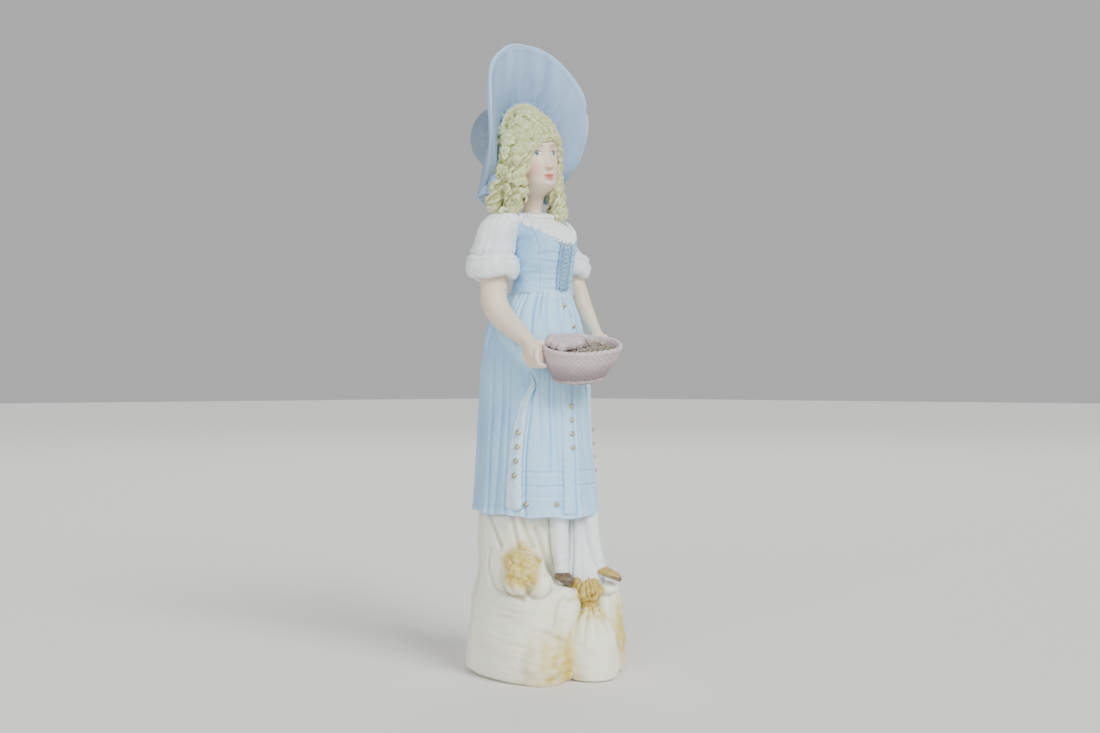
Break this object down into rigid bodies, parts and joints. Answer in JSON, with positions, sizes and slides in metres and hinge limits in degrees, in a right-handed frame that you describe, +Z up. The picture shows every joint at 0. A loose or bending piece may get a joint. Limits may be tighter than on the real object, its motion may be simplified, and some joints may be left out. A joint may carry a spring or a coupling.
{
  "type": "porcelain figurine",
  "caption": "Matte bisque statuette of a standing girl in a long dress and wide bonnet, holding a shallow basket, on a pile of tied sacks; stands on a flat foot.",
  "frame": {"origin": "on the flat underside of the pile, below the middle of the figure", "axes": "+Z up, the figure faces -Y, her left hand is at +X"},
  "size_m": [0.0768, 0.0869, 0.3011],
  "materials": {
    "bisque_white": "matte unglazed bisque, cream white",
    "ochre_wash": "matte bisque with an ochre wash",
    "blue_bisque": "matte bisque tinted pale blue",
    "pale_blue_bisque": "matte bisque, palest blue",
    "painted_skin": "matte bisque with a flesh tint",
    "painted_hair": "matte bisque tinted straw blond",
    "stocking_white": "matte white bisque",
    "painted_shoes": "matte brown enamel on bisque",
    "mauve_wicker": "matte bisque tinted mauve",
    "painted_grain": "matte bisque tinted tan",
    "gilt": "worn gilding on raised bisque dots"
  },
  "bodies": {
    "root": {"basket": "mauve_wicker", "bodice_cast": "blue_bisque", "bodice_lacing": "blue_bisque", "bonnet_brim": "blue_bisque", "bonnet_crown": "blue_bisque", "bonnet_frill": "pale_blue_bisque", "collar_ruffle": "bisque_white", "front_sack": "bisque_white", "front_sack_mouth": "ochre_wash", "front_sack_tie": "ochre_wash", "grain": "painted_grain", "hair_cap": "painted_hair", "head_cast": "painted_skin", "hem_bead_1": "gilt", "hem_bead_2": "gilt", "hem_bead_3": "gilt", "left_arm": "painted_skin", "left_back_ringlets": "painted_hair", "left_cuff": "bisque_white", "left_edge_bead_1": "gilt", "left_edge_bead_2": "gilt", "left_edge_bead_3": "gilt", "left_edge_bead_4": "gilt", "left_front_ringlets": "painted_hair", "left_leg": "stocking_white", "left_sack": "bisque_white", "left_shoe": "painted_shoes", "left_sleeve": "bisque_white", "leg_support": "bisque_white", "overskirt_left_edge": "pale_blue_bisque", "overskirt_right_edge": "pale_blue_bisque", "pile_cast": "bisque_white", "pile_corner": "ochre_wash", "pile_ear": "bisque_white", "placket": "blue_bisque", "placket_bead_1": "gilt", "placket_bead_2": "gilt", "placket_bead_3": "gilt", "placket_bead_4": "gilt", "right_arm": "painted_skin", "right_back_ringlets": "painted_hair", "right_cuff": "bisque_white", "right_edge_bead_1": "gilt", "right_edge_bead_2": "gilt", "right_edge_bead_3": "gilt", "right_edge_bead_4": "gilt", "right_front_ringlets": "painted_hair", "right_leg": "stocking_white", "right_shoe": "painted_shoes", "right_sleeve": "bisque_white", "side_lobe_back": "bisque_white", "side_lobe_front": "bisque_white", "side_sack_mouth": "ochre_wash", "skirt_cast": "blue_bisque", "support_fold_1": "bisque_white", "support_fold_2": "bisque_white", "support_fold_3": "bisque_white", "waist_bead_1": "gilt", "waist_bead_2": "gilt", "waist_bead_3": "gilt"}
  },
  "joints": []
}
